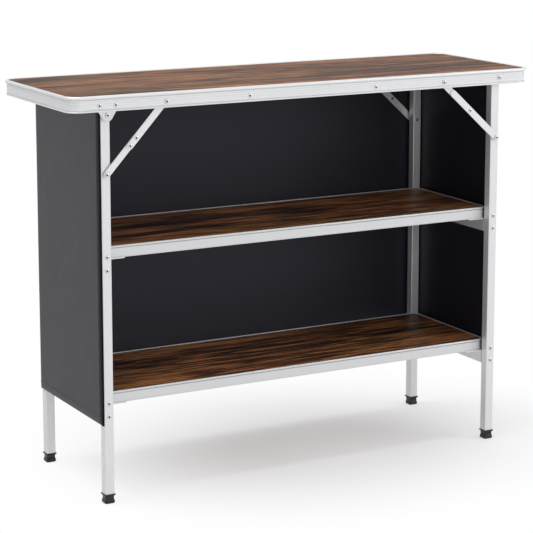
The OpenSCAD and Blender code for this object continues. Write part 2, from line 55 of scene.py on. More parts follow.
def middle(name):
    low, high = nodeBox(name)
    return (low + high) / 2


def linked(name, data):
    obj = bpy.data.objects.new(name, data)
    bpy.context.scene.collection.objects.link(obj)
    return obj


def newObject(name, verts, faces, smooth=True):
    mesh = bpy.data.meshes.new(name)
    mesh.from_pydata(verts, [], faces)
    mesh.validate()
    for face in mesh.polygons:
        face.use_smooth = smooth
    return linked(name, mesh)


def applyModifiers(obj):
    graph = bpy.context.evaluated_depsgraph_get()
    graph.update()
    mesh = bpy.data.meshes.new_from_object(obj.evaluated_get(graph))
    obj.modifiers.clear()
    obj.data = mesh
    return obj


def bakeTree(obj, tree, values):
    # sets the tree's named inputs and keeps its result as a plain mesh
    mod = obj.modifiers.new("tree", "NODES")
    mod.node_group = tree
    idents = {s.name: s.identifier for s in tree.interface.items_tree if s.item_type == "SOCKET"}
    for key, value in values.items():
        mod[idents[key]] = value
    obj.update_tag()
    applyModifiers(obj).data.name = obj.name
    return obj


def dress(obj, material):
    obj.data.materials.clear()
    obj.data.materials.append(material)


# Shader node groups that several materials share

def newGroup(name, inputs, outputs):
    group = bpy.data.node_groups.new(name, "ShaderNodeTree")
    for label, kind, value in inputs:
        sock = group.interface.new_socket(label, in_out="INPUT", socket_type=kind)
        sock.default_value = value
    for label, kind in outputs:
        group.interface.new_socket(label, in_out="OUTPUT", socket_type=kind)
    return group, group.nodes.new("NodeGroupInput"), group.nodes.new("NodeGroupOutput")


def addNode(tree, kind, links=None, **props):
    # makes a node, sets its properties, and links or sets its inputs
    node = tree.nodes.new(kind)
    for key, value in props.items():
        setattr(node, key, value)
    for key, value in (links or {}).items():
        if isinstance(value, bpy.types.NodeSocket):
            tree.links.new(value, node.inputs[key])
        else:
            node.inputs[key].default_value = value
    return node


def math2(tree, operation, a, b=0.0):
    return addNode(tree, "ShaderNodeMath", {0: a, 1: b}, operation=operation).outputs[0]


def weighted(tree, *parts):
    # the sum of each value times its share
    total = None
    for value, share in parts:
        part = math2(tree, "MULTIPLY", value, share)
        total = part if total is None else math2(tree, "ADD", total, part)
    return total


def mapped(tree, value, fromMin=0.0, fromMax=1.0, toMin=0.0, toMax=1.0, kind="LINEAR"):
    # a value's place between two ends, carried over to two other ends
    ends = {"From Min": fromMin, "From Max": fromMax, "To Min": toMin, "To Max": toMax}
    return addNode(tree, "ShaderNodeMapRange", {"Value": value, **ends}, interpolation_type=kind).outputs[0]


def ramp(tree, value, stops):
    node = addNode(tree, "ShaderNodeValToRGB", {"Fac": value})
    bar = node.color_ramp
    while len(bar.elements) < len(stops):
        bar.elements.new(0.5)
    for element, (place, colour) in zip(bar.elements, stops):
        element.position = place
        element.color = (*colour, 1)
    return node.outputs["Color"]


def mixColour(tree, fac, a, b, blend="MIX"):
    mix = addNode(tree, "ShaderNodeMix", {0: fac, 6: a, 7: b}, data_type="RGBA", blend_type=blend)
    return mix.outputs[2]


surfaceOutputs = [("Color", "NodeSocketColor"), ("Roughness", "NodeSocketFloat"),
                  ("Height", "NodeSocketFloat")]

walnut = {
    # each layer's stretch along X, Y and Z, and its noise
    "layers": {
        "warp": ((1.1, 3, 3), {"Scale": 1.6, "Detail": 2.0}),
        "broad": ((1.1, 17, 17), {"Scale": 1.5, "Detail": 3.0, "Roughness": 0.55}),
        "streak": ((3.2, 44, 44), {"Scale": 2.2, "Detail": 6.0, "Roughness": 0.68}),
        "line": ((2.4, 84, 84), {"Scale": 2.0, "Detail": 3.0}),
        "pore": ((16, 220, 220), {"Scale": 2.0, "Detail": 3.0}),
        "hue": ((2.2, 9, 9), {"Scale": 1.3, "Detail": 2.0}),
    },
    "bend": (0, 0.3, 0),  # how far the warp shifts the bands and the streaks
    "broadShare": 0.28,
    "streakShare": 0.46,
    "lineShare": 0.30,
    "toneLow": 0.468,
    "toneHigh": 0.572,
    "poreLow": 0.52,
    "poreHigh": 0.68,
    "poreDepth": 0.7,
    "lean": [(0.38, (1.06, 0.96, 0.92)), (0.62, (0.97, 1.05, 0.92))],  # to red, to gold
    "roughness": 0.36,
    "roughSpread": 0.16,
}


def woodGroup():
    # printed walnut: broad bands, long streaks, fine lines and pores, all running along X
    group, inp, out = newGroup(
        "walnutPrint",
        [("Vector", "NodeSocketVector", (0, 0, 0)),
         ("Dark", "NodeSocketColor", (0.03, 0.013, 0.007, 1)),
         ("Mid", "NodeSocketColor", (0.14, 0.065, 0.033, 1)),
         ("Light", "NodeSocketColor", (0.3, 0.155, 0.08, 1))],
        surfaceOutputs)
    w = walnut

    def layer(key, shift=None):
        stretch, noise = w["layers"][key]
        at = addNode(group, "ShaderNodeMapping", {"Vector": inp.outputs["Vector"],
                                                  "Scale": stretch}).outputs[0]
        if shift is not None:
            at = addNode(group, "ShaderNodeVectorMath", {0: at, 1: shift}).outputs[0]
        return addNode(group, "ShaderNodeTexNoise", {"Vector": at, **noise})

    bent = addNode(group, "ShaderNodeVectorMath", {0: layer("warp").outputs["Color"], 1: w["bend"]},
                   operation="MULTIPLY").outputs[0]
    broad = layer("broad", bent).outputs["Fac"]
    streak = layer("streak", bent).outputs["Fac"]
    line = layer("line").outputs["Fac"]
    pore = layer("pore").outputs["Fac"]
    tone = weighted(group, (broad, w["broadShare"]), (streak, w["streakShare"]), (line, w["lineShare"]))
    # the lower half of the tone goes from dark to mid, the upper half from mid to light
    twice = math2(group, "MULTIPLY", mapped(group, tone, fromMin=w["toneLow"], fromMax=w["toneHigh"]), 2.0)
    low = mixColour(group, twice, inp.outputs["Dark"], inp.outputs["Mid"])
    upper = addNode(group, "ShaderNodeClamp", {"Value": math2(group, "SUBTRACT", twice, 1.0)}).outputs[0]
    base = mixColour(group, upper, low, inp.outputs["Light"])
    poreMask = mapped(group, pore, fromMin=w["poreLow"], fromMax=w["poreHigh"], toMax=w["poreDepth"])
    printed = mixColour(group, poreMask, base, inp.outputs["Dark"])
    lean = ramp(group, layer("hue").outputs["Fac"], w["lean"])
    colour = mixColour(group, 1.0, printed, lean, "MULTIPLY")
    rough = math2(group, "ADD", w["roughness"], math2(group, "MULTIPLY", streak, w["roughSpread"]))
    group.links.new(colour, out.inputs["Color"])
    group.links.new(rough, out.inputs["Roughness"])
    group.links.new(math2(group, "SUBTRACT", streak, poreMask), out.inputs["Height"])
    return group


drawn = {
    "fine": 700,  # stretch across the bar
    "coarse": 5,  # stretch along it
    "lineNoise": {"Scale": 1.0, "Detail": 3.0},
    "slowNoise": {"Scale": 9.0, "Detail": 2.0},
    "lineShare": 0.14,
    "slowShare": 0.12,
    "shareMiddle": 0.13,  # middle of the two shares' sum, so that the sheen varies both ways
    "shadeLow": 0.93,
    "shadeHigh": 1.04,
}


def drawnMetalGroup():
    # faint lines that an extruded bar has along its length, with a slow change of sheen
    group, inp, out = newGroup(
        "drawnLines",
        [("Vector", "NodeSocketVector", (0, 0, 0)), ("Scale", "NodeSocketVector", (4, 900, 900)),
         ("Roughness", "NodeSocketFloat", 0.35), ("Tint", "NodeSocketColor", (0.7, 0.71, 0.72, 1))],
        surfaceOutputs)
    at = addNode(group, "ShaderNodeVectorMath", {0: inp.outputs["Vector"], 1: inp.outputs["Scale"]},
                 operation="MULTIPLY").outputs[0]
    lines = addNode(group, "ShaderNodeTexNoise", {"Vector": at, **drawn["lineNoise"]}).outputs["Fac"]
    slow = addNode(group, "ShaderNodeTexNoise", {"Vector": inp.outputs["Vector"], **drawn["slowNoise"]})
    spread = weighted(group, (lines, drawn["lineShare"]), (slow.outputs["Fac"], drawn["slowShare"]))
    change = math2(group, "SUBTRACT", spread, drawn["shareMiddle"])
    shade = mapped(group, lines, toMin=drawn["shadeLow"], toMax=drawn["shadeHigh"])
    grey = addNode(group, "ShaderNodeCombineColor", {0: shade, 1: shade, 2: shade}).outputs[0]
    group.links.new(mixColour(group, 1.0, inp.outputs["Tint"], grey, "MULTIPLY"), out.inputs["Color"])
    group.links.new(math2(group, "ADD", inp.outputs["Roughness"], change), out.inputs["Roughness"])
    group.links.new(lines, out.inputs["Height"])
    return group


weave = {
    "slubNoise": {"Scale": 26.0, "Detail": 4.0},
    "threadShare": 0.6,
    "slubShare": 0.36,
    "roughness": 0.40,
    "roughSpread": 0.10,
}


def weaveGroup():
    # plain weave on the sheet's own flat map, in threads per metre
    group, inp, out = newGroup(
        "plainWeave",
        [("Vector", "NodeSocketVector", (0, 0, 0)), ("Threads", "NodeSocketFloat", 1400.0),
         ("Light", "NodeSocketColor", (0.0168, 0.0164, 0.0215, 1)),
         ("Dark", "NodeSocketColor", (0.0075, 0.0073, 0.0105, 1))],
        surfaceOutputs)
    parts = addNode(group, "ShaderNodeSeparateXYZ", {0: inp.outputs["Vector"]})
    turn = math2(group, "MULTIPLY", inp.outputs["Threads"], math.pi)
    waves = [math2(group, "SINE", math2(group, "MULTIPLY", parts.outputs[axis], turn)) for axis in (0, 1)]
    cloth = math2(group, "MULTIPLY", waves[0], waves[1])
    height = math2(group, "ADD", math2(group, "MULTIPLY", cloth, 0.5), 0.5)  # from -1..1 to 0..1
    slub = addNode(group, "ShaderNodeTexNoise", {"Vector": inp.outputs["Vector"], **weave["slubNoise"]})
    # painted shade with random tone: the dips between threads go towards the dark colour and the crowns
    # towards the light one, and the slub varies the tone at random
    mask = weighted(group, (height, weave["threadShare"]), (slub.outputs["Fac"], weave["slubShare"]))
    change = math2(group, "MULTIPLY", slub.outputs["Fac"], weave["roughSpread"])
    rough = math2(group, "ADD", weave["roughness"], change)
    group.links.new(mixColour(group, mask, inp.outputs["Dark"], inp.outputs["Light"]), out.inputs["Color"])
    group.links.new(rough, out.inputs["Roughness"])
    group.links.new(height, out.inputs["Height"])
    return group


# grooves along the rims' faces: (height above the rim's foot, half width, strength); the strength sets how
# deep the groove dents and how dark its painted shade is
rimLines = {
    "table": [(4.3 * mm, 1.0 * mm, 0.42), (12.5 * mm, 0.9 * mm, 0.18), (17.3 * mm, 0.9 * mm, 0.24),
              (22.2 * mm, 0.9 * mm, 0.27), (27.2 * mm, 1.1 * mm, 0.45)],
    "shelf": [(1.9 * mm, 0.8 * mm, 0.3), (21.7 * mm, 1.3 * mm, 0.85)],
}


def rimLinesGroup(kind, rim):
    # how deep in a groove a point is, by its height on the rim; this depth dents the face and also paints
    # shade into the groove
    group, inp, out = newGroup(
        kind + "RimLines", [("Vector", "NodeSocketVector", (0, 0, 0)), ("Foot", "NodeSocketFloat", 0.0)],
        [("Mask", "NodeSocketFloat")])
    low, high = nodeBox(rim)
    tall = high.z - low.z
    height = addNode(group, "ShaderNodeSeparateXYZ", {0: inp.outputs["Vector"]}).outputs[2]
    share = math2(group, "DIVIDE", math2(group, "SUBTRACT", height, inp.outputs["Foot"]), tall)
    stops = []
    for at, half, strength in rimLines[kind]:
        for place, depth in ((at - half, 0), (at, strength), (at + half, 0)):
            stops.append((place / tall, (depth,) * 3))
    group.links.new(ramp(group, share, stops), out.inputs["Mask"])
    return group


groups = {
    "wood": woodGroup(),
    "metal": drawnMetalGroup(),
    "weave": weaveGroup(),
    "tableLines": rimLinesGroup("table", "rim_front"),
    "shelfLines": rimLinesGroup("shelf", "mid_shelf_rim_front"),
}


# Materials

finishes = {
    "aluminium": (0.675, 0.68, 0.688),
    # the same aluminium painted darker for the shelf rims, as painted shade that holds down how bright they
    # render
    "shelfAluminium": (0.59, 0.595, 0.602),
    "legAluminium": (0.66, 0.665, 0.675),
    "aluminiumRough": 0.35,
    "aluminiumMetallic": 0.45,
    "zinc": (0.66, 0.665, 0.67),
    "zincRough": 0.22,
    "zincMetallic": 0.9,
    "rivetMetallic": 0.95,
    # near-black painted as shade into the rivet heads' hollows and, less strongly, round their edges
    "hollow": (0.012, 0.012, 0.013, 1),
    # dark grey of the painted shade in the rims' grooves
    "groove": (0.09, 0.09, 0.095, 1),
    "grooveDepth": 0.0005,
    "grooveStrength": 0.5,
    "bumpStrength": 0.6,
    "metalBump": 0.00004,
    "woodBump": 0.00008,
    "topWood": {"Dark": (0.017, 0.0075, 0.0042, 1), "Mid": (0.097, 0.0385, 0.018, 1),
                "Light": (0.285, 0.131, 0.062, 1)},
    "topWoodShader": {"Specular IOR Level": 0.03},
    "shelfWood": {"Dark": (0.014, 0.006, 0.003, 1), "Mid": (0.13, 0.052, 0.021, 1),
                  "Light": (0.46, 0.195, 0.075, 1)},
    "shelfWoodShader": {"Coat Weight": 0.06, "Coat Roughness": 0.25},
    "cloth": {"Threads": 1100.0, "Light": (0.0168, 0.0164, 0.0215, 1), "Dark": (0.0075, 0.0073, 0.0105, 1)},
    "clothBump": 0.00012,
    "clothShader": {"Specular IOR Level": 0.36, "Specular Tint": (0.84, 0.81, 1.0, 1)},
    "tape": {"Threads": 1500.0, "Light": (0.004, 0.004, 0.0045, 1), "Dark": (0.002, 0.002, 0.0022, 1)},
    "tapeBump": 0.0001,
    "tapeShader": {"Specular IOR Level": 0.02},
    "thread": {"Threads": 3000.0, "Light": (0.05, 0.05, 0.055, 1), "Dark": (0.02, 0.02, 0.022, 1)},
    "threadBump": 0.00005,
    "threadShader": {"Sheen Weight": 0.3},
}


def blankMaterial(name):
    mat = bpy.data.materials.new(name)
    mat.use_nodes = True
    return mat, mat.node_tree, mat.node_tree.nodes["Principled BSDF"]


def newMaterial(name, groupName, groupValues, bumpHeight, shader, coord="Object"):
    mat, tree, surface = blankMaterial(name)
    place = tree.nodes.new("ShaderNodeTexCoord")
    pattern = addNode(tree, "ShaderNodeGroup", node_tree=groups[groupName])
    tree.links.new(place.outputs[coord], pattern.inputs["Vector"])
    for key, value in groupValues.items():
        pattern.inputs[key].default_value = value
    tree.links.new(pattern.outputs["Color"], surface.inputs["Base Color"])
    tree.links.new(pattern.outputs["Roughness"], surface.inputs["Roughness"])
    bump = addNode(tree, "ShaderNodeBump", {"Height": pattern.outputs["Height"], "Distance": bumpHeight,
                                            "Strength": finishes["bumpStrength"]})
    tree.links.new(bump.outputs["Normal"], surface.inputs["Normal"])
    for key, value in shader.items():
        surface.inputs[key].default_value = value
    return mat


def metalMaterial(name, direction, tint, roughness, metallic):
    # direction names the axis that the bar was drawn along
    scale = [drawn["coarse"] if axis == direction else drawn["fine"] for axis in "XYZ"]
    return newMaterial(name, "metal", {"Scale": scale, "Tint": (*tint, 1), "Roughness": roughness},
                       finishes["metalBump"], {"Metallic": metallic})


def aluminiumMaterial(name, direction, tintName):
    return metalMaterial(name, direction, finishes[tintName], finishes["aluminiumRough"],
                         finishes["aluminiumMetallic"])


plastic = {
    "colour": (0.010, 0.010, 0.011),
    "wornLift": 2.1,  # how much lighter the worn patches are
    "wornFrom": 0.3,
    "wornTo": 0.8,
    "wornNoise": {"Scale": 40.0, "Detail": 3.0},
    "grainNoise": {"Scale": 900.0, "Detail": 2.0},
    "specular": 0.3,
    "roughLow": 0.30,
    "roughHigh": 0.46,
    "bump": 0.00006,
    "bumpStrength": 0.5,
}


def plasticMaterial():
    mat, tree, surface = blankMaterial("mouldedPlastic")
    surface.inputs["Specular IOR Level"].default_value = plastic["specular"]
    at = tree.nodes.new("ShaderNodeTexCoord").outputs["Object"]
    grain = addNode(tree, "ShaderNodeTexNoise", {"Vector": at, **plastic["grainNoise"]}).outputs["Fac"]
    worn = addNode(tree, "ShaderNodeTexNoise", {"Vector": at, **plastic["wornNoise"]}).outputs["Fac"]
    dark = plastic["colour"]
    light = tuple(value * plastic["wornLift"] for value in dark)
    colour = ramp(tree, worn, [(plastic["wornFrom"], dark), (plastic["wornTo"], light)])
    tree.links.new(colour, surface.inputs["Base Color"])
    rough = mapped(tree, grain, toMin=plastic["roughLow"], toMax=plastic["roughHigh"])
    tree.links.new(rough, surface.inputs["Roughness"])
    bump = addNode(tree, "ShaderNodeBump", {"Height": grain, "Distance": plastic["bump"],
                                            "Strength": plastic["bumpStrength"]})
    tree.links.new(bump.outputs["Normal"], surface.inputs["Normal"])
    return mat


materials = {
    "barX": aluminiumMaterial("aluminiumAlongX", "X", "aluminium"),
    "barY": aluminiumMaterial("aluminiumAlongY", "Y", "aluminium"),
    "barZ": aluminiumMaterial("aluminiumAlongZ", "Z", "legAluminium"),
    "zinc": metalMaterial("zincSheet", "Z", finishes["zinc"], finishes["zincRough"],
                          finishes["zincMetallic"]),
    "topWood": newMaterial("walnutTop", "wood", finishes["topWood"], finishes["woodBump"],
                           finishes["topWoodShader"]),
    "shelfWood": newMaterial("walnutShelf", "wood", finishes["shelfWood"], finishes["woodBump"],
                             finishes["shelfWoodShader"]),
    "cloth": newMaterial("skirtCloth", "weave", finishes["cloth"], finishes["clothBump"],
                         finishes["clothShader"], coord="UV"),
    "tape": newMaterial("bindingTape", "weave", finishes["tape"], finishes["tapeBump"],
                        finishes["tapeShader"]),
    "thread": newMaterial("sewingThread", "weave", finishes["thread"], finishes["threadBump"],
                          finishes["threadShader"]),
    "plastic": plasticMaterial(),
}


def rimMaterial(name, direction, kind, foot):
    # drawn aluminium with the rim's grooves in it, dented and darkened with painted shade
    # shelf rims take the darker copy of the aluminium, which is painted shade
    mat = aluminiumMaterial(name, direction, "shelfAluminium" if kind == "shelf" else "aluminium")
    tree = mat.node_tree
    surface = tree.nodes["Principled BSDF"]
    place = tree.nodes.new("ShaderNodeTexCoord")
    lines = addNode(tree, "ShaderNodeGroup", node_tree=groups[kind + "Lines"])
    lines.inputs["Foot"].default_value = foot
    tree.links.new(place.outputs["Object"], lines.inputs["Vector"])
    mask = lines.outputs["Mask"]
    colour = surface.inputs["Base Color"].links[0].from_socket
    normal = surface.inputs["Normal"].links[0].from_socket
    # painted shade: the colour goes towards dark grey as deep as the groove is
    tree.links.new(mixColour(tree, mask, colour, finishes["groove"]), surface.inputs["Base Color"])
    dent = addNode(tree, "ShaderNodeBump", {"Height": mask, "Distance": finishes["grooveDepth"],
                                            "Strength": finishes["grooveStrength"], "Normal": normal},
                   invert=True)
    tree.links.new(dent.outputs["Normal"], surface.inputs["Normal"])
    return mat


# the rims: kind of grooves, and how their nodes' names begin
rims = {"table": ("table", ""), "mid": ("shelf", "mid_shelf_"), "low": ("shelf", "low_shelf_")}

for label, (kind, stem) in rims.items():
    rimFoot = nodeBox(stem + "rim_front")[0].z
    for direction in "XY":
        key = label + "Rim" + direction
        materials[key] = rimMaterial(key, direction, kind, rimFoot)


def rivetMaterial():
    # zinc head with painted shade: dark in its hollow and partly dark round its edge, where the mesh marks
    # it
    mat = metalMaterial("rivetSteel", "Z", finishes["zinc"], finishes["zincRough"],
                        finishes["rivetMetallic"])
    tree = mat.node_tree
    surface = tree.nodes["Principled BSDF"]
    colour = surface.inputs["Base Color"].links[0].from_socket
    paintedShade = addNode(tree, "ShaderNodeAttribute", attribute_name="hollow").outputs["Fac"]
    tree.links.new(mixColour(tree, paintedShade, colour, finishes["hollow"]), surface.inputs["Base Color"])
    return mat


materials["rivet"] = rivetMaterial()
print("stage: materials made")


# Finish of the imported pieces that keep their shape

def finishOf(name):
    if name == "table_board":
        return "topWood"
    if name.endswith("shelf_board"):
        return "shelfWood"
    if "foot" in name or name == "skirt_strips":
        return "plastic"
    if name == "skirt_bindings":
        return "tape"
    if name.startswith("skirt"):
        return "cloth"
    if any(word in name for word in ("rivet", "pins", "stud", "brackets", "ledges", "clips", "hangers")):
        return "zinc"
    if name.endswith("_leg"):
        return "barZ"
    if "rim_" in name:
        label = name.split("_")[0] if "shelf" in name else "table"
        return label + ("RimY" if name.endswith(("left", "right")) else "RimX")
    if name.endswith(("end_bars", "tie_tube")):
        return "barY"
    return "barX"


for name, obj in nodes.items():
    dress(obj, materials[finishOf(name)])
print("stage: packed pieces finished")


# Skirt: one cloth that goes down the left side, round the back and up the right side

skirtSizes = {
    "thick": 1.3 * mm,
    "cornerRadius": 12 * mm,
    "cornerSteps": 8,
    "step": 14 * mm,
    "rowStep": 18 * mm,
    "hemHeight": 20 * mm,
    "notchWidth": 20 * mm,
    "ripple": 1.1 * mm,  # how far the cloth stands out between its fixings
    # waves: radians per metre of the cloth's run, and how they lean with the height (0 to 1)
    "longWave": {"perMetre": 9.5, "lean": 1.7, "leanTurn": 3.1, "share": 0.75},
    "fineWave": {"perMetre": 31, "lean": 8, "share": 0.25},
    # where the ripple is strong: a belly in mid-height, and some slack that grows to the hem
    "belly": 0.75,
    "bellyRise": 1.04,
    "hemSlack": 0.25,
}


def skirtPath(xHalf, yLeft, yRight, yBack):
    # plan-view stations from the left front edge to the right front edge, with outward directions
    stations = []
    radius, steps = skirtSizes["cornerRadius"], skirtSizes["cornerSteps"]

    def straight(ax, ay, bx, by, nx, ny):
        count = max(2, round(math.hypot(bx - ax, by - ay) / skirtSizes["step"]))
        for i in range(count):
            t = i / count
            stations.append((ax + (bx - ax) * t, ay + (by - ay) * t, nx, ny))

    def arc(cx, cy, start, end):
        for i in range(steps):
            a = start + (end - start) * i / steps
            stations.append((cx + radius * math.cos(a), cy + radius * math.sin(a), math.cos(a), math.sin(a)))

    straight(-xHalf, yLeft, -xHalf, yBack - radius, -1, 0)
    arc(-xHalf + radius, yBack - radius, math.pi, math.pi / 2)
    straight(-xHalf + radius, yBack, xHalf - radius, yBack, 0, 1)
    arc(xHalf - radius, yBack - radius, math.pi / 2, 0)
    straight(xHalf, yBack - radius, xHalf, yRight, 1, 0)
    stations.append((xHalf, yRight, 1, 0))
    return stations


def pinNotches():
    # places along the back where pins pass the cloth: (x, bottom of the notch)
    half = skirtSizes["notchWidth"] / 2
    places = []
    for side in ("left", "right"):
        tube = middle(side + "_tie_tube")
        places.append((tube.x, tube.z - half))
    low, high = nodeBox("brace_anchor_pins")
    shoulder = (high.z - low.z) / 2
    places.append((low.x + shoulder, (low.z + high.z) / 2 - half))  # only the left anchor crosses the cloth
    return places


def ripple(run, up):
    # how far the cloth stands out, never inwards: run along the cloth, up from hem (0) to top (1)
    s = skirtSizes
    long, fine = s["longWave"], s["fineWave"]
    wave = 0.5 + 0.5 * math.sin(run * long["perMetre"] + long["lean"] * math.sin(up * long["leanTurn"]))
    small = 0.5 + 0.5 * math.sin(run * fine["perMetre"] + up * fine["lean"])
    swell = math.sin(math.pi * min(up * s["bellyRise"], 1)) * s["belly"] + s["hemSlack"] * (1 - up)
    return s["ripple"] * swell * (long["share"] * wave + fine["share"] * small)


def skirtRows(bottom, top, notches):
    # heights of the cloth's rows: two for the hem, even steps, and one at each notch's bottom
    hem = skirtSizes["hemHeight"]
    rows = [bottom, bottom + hem * 0.5, bottom + hem]
    start = rows[-1]
    firstNotch = min(z for _, z in notches)
    count = round((firstNotch - start) / skirtSizes["rowStep"])
    rows += [start + (firstNotch - start) * (i + 1) / count for i in range(count)]
    higher = {round(z, 6) for _, z in notches if z > firstNotch + 0.1 * mm}
    return rows + sorted(higher) + [top]


def makeSkirt():
    s = skirtSizes
    backLow, backHigh = nodeBox("skirt_back")
    sideLow, sideHigh = nodeBox("skirt_left")
    xHalf = -sideLow.x - (sideHigh.x - sideLow.x) / 2
    yBack = (backLow.y + backHigh.y) / 2
    notches = pinNotches()
    half = s["notchWidth"] / 2

    def snapped(x, y):
        # a station on the back moves to the nearest notch edge, so that the notch is cut cleanly
        if y < yBack - hair:
            return x
        for nx, _ in notches:
            for edge in (nx - half, nx + half):
                if abs(x - edge) <= s["step"] * 0.5:
                    return edge
        return x

    path = skirtPath(xHalf, sideLow.y, nodeBox("skirt_right")[0].y, yBack)
    stations = [(snapped(x, y), y, nx, ny) for x, y, nx, ny in path]
    bottom, top = backLow.z, backHigh.z
    rows = skirtRows(bottom, top, notches)
    along = [0.0]
    for a, b in zip(stations, stations[1:]):
        along.append(along[-1] + math.hypot(b[0] - a[0], b[1] - a[1]))
    verts = []
    for z in rows:
        up = (z - bottom) / (top - bottom)
        for (x, y, nx, ny), run in zip(stations, along):
            out = ripple(run, up)
            verts.append((x + nx * out, y + ny * out, z))
    width = len(stations)
    faces = []
    for r in range(len(rows) - 1):
        zMid = (rows[r] + rows[r + 1]) / 2
        for c in range(width - 1):
            xMid = (stations[c][0] + stations[c + 1][0]) / 2
            yMid = (stations[c][1] + stations[c + 1][1]) / 2
            cut = yMid > yBack - hair and any(abs(xMid - nx) < half and zMid > nz for nx, nz in notches)
            if not cut:
                first, above = r * width + c, (r + 1) * width + c
                faces.append((first, first + 1, above + 1, above))
    cloth = newObject("skirt_cloth", verts, faces)
    uv = cloth.data.uv_layers.new(name="flat")
    for loop in cloth.data.loops:
        r, c = divmod(loop.vertex_index, width)
        uv.data[loop.index].uv = (along[c], rows[r])
    bm = bmesh.new()
    bm.from_mesh(cloth.data)
    loose = [v for v in bm.verts if not v.link_faces]
    bmesh.ops.delete(bm, geom=loose, context="VERTS")
    bmesh.ops.recalc_face_normals(bm, faces=bm.faces)
    bm.to_mesh(cloth.data)
    bm.free()
    solid = cloth.modifiers.new("thick", "SOLIDIFY")
    solid.thickness = s["thick"]
    solid.offset = 0
    applyModifiers(cloth)
    dress(cloth, materials["cloth"])
    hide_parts("skirt_left", "skirt_back", "skirt_right")
    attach(cloth, "tabletop")
    return cloth, stations, (along[-1], top - bottom), bottom


skirt, skirtStations, skirtFlat, skirtBottom = makeSkirt()
print("stage: skirt hung, flat", round(skirtFlat[0], 3), "x", round(skirtFlat[1], 3), "m")


# Stitches: a node tree sets a short thread capsule at even steps along a line

stitchSizes = {
    "length": 3.2 * mm,
    "gap": 5.0 * mm,
    "radius": 0.42 * mm,
    "bury": 0.2 * mm,
    "segments": 6,
    "rings": 4,
    "hemShare": 0.8,  # height of the hem's row, as a share of the hem
    "tapeEdge": 2 * mm,
    "tapeEnd": 4 * mm,
}


def newTree(name, *inputs):
    # a geometry tree with these extra inputs, a material input and a geometry output
    tree = bpy.data.node_groups.new(name, "GeometryNodeTree")
    for label, kind, value in (*inputs, ("Finish", "Material", None)):
        sock = tree.interface.new_socket(label, in_out="INPUT", socket_type="NodeSocket" + kind)
        if value is not None:
            sock.default_value = value
    tree.interface.new_socket("Geometry", in_out="OUTPUT", socket_type="NodeSocketGeometry")
    return tree, tree.nodes.new("NodeGroupInput").outputs, tree.nodes.new("NodeGroupOutput").inputs


def stitchTree():
    s = stitchSizes
    tree, inp, out = newTree("stitchRow", ("Geometry", "Geometry", None), ("Gap", "Float", s["gap"]),
                             ("Length", "Float", s["length"]), ("Radius", "Float", s["radius"]))
    line = addNode(tree, "GeometryNodeMeshToCurve", {"Mesh": inp["Geometry"]})
    points = addNode(tree, "GeometryNodeCurveToPoints", {"Curve": line.outputs[0], "Length": inp["Gap"]},
                     mode="LENGTH")
    capsule = addNode(tree, "GeometryNodeMeshUVSphere", {"Segments": s["segments"], "Rings": s["rings"],
                                                         "Radius": inp["Radius"]})
    ratio = math2(tree, "DIVIDE", inp["Length"], math2(tree, "MULTIPLY", inp["Radius"], 2.0))
    stretch = addNode(tree, "ShaderNodeCombineXYZ", {0: 1.0, 1: 1.0, 2: ratio})
    long = addNode(tree, "GeometryNodeTransform", {"Geometry": capsule.outputs["Mesh"],
                                                   "Scale": stretch.outputs[0]})
    placed = addNode(tree, "GeometryNodeInstanceOnPoints", {
        "Points": points.outputs["Points"], "Instance": long.outputs[0],
        "Rotation": points.outputs["Rotation"]})
    real = addNode(tree, "GeometryNodeRealizeInstances", {"Geometry": placed.outputs[0]})
    smooth = addNode(tree, "GeometryNodeSetShadeSmooth", {"Geometry": real.outputs[0]})
    painted = addNode(tree, "GeometryNodeSetMaterial", {"Geometry": smooth.outputs[0],
                                                        "Material": inp["Finish"]})
    tree.links.new(painted.outputs[0], out[0])
    return tree


def polyline(name, lines):
    verts, edges = [], []
    for line in lines:
        first = len(verts)
        verts += line
        edges += [(first + i, first + i + 1) for i in range(len(line) - 1)]
    mesh = bpy.data.meshes.new(name)
    mesh.from_pydata(verts, edges, [])
    return linked(name, mesh)


def makeStitches():
    s = stitchSizes
    bindLow, bindHigh = nodeBox("skirt_bindings")
    standing = s["radius"] - s["bury"]
    reach = skirtSizes["thick"] / 2 + standing + skirtSizes["ripple"]
    hemZ = skirtBottom + skirtSizes["hemHeight"] * s["hemShare"]
    lines = [[(x + nx * reach, y + ny * reach, hemZ) for x, y, nx, ny in skirtStations]]
    # a row down each binding tape, near the cloth
    for side, tape, station in ((-1, bindLow.x, skirtStations[0]), (1, bindHigh.x, skirtStations[-1])):
        x, y = tape + side * standing, station[1] - s["tapeEdge"]
        lines.append([(x, y, bindLow.z + s["tapeEnd"]), (x, y, bindHigh.z - s["tapeEnd"])])
    sewn = bakeTree(polyline("skirt_stitches", lines), stitchTree(), {"Finish": materials["thread"]})
    dress(sewn, materials["thread"])
    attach(sewn, "tabletop")
    return sewn


stitches = makeStitches()
print("stage: stitches sewn")


# Fine ribs that the extruded rims carry along their faces

ribSizes = {
    "table": {"radius": 0.45 * mm, "heights": (5.2 * mm, 7.2 * mm, 26.0 * mm), "inset": 4.0 * mm,
              "corner": 34 * mm},
    "shelf": {"radius": 0.3 * mm, "heights": (3.0 * mm,), "inset": 1.6 * mm, "corner": 18.4 * mm},
    "cornerSteps": 14,
    "profileSteps": 8,
}


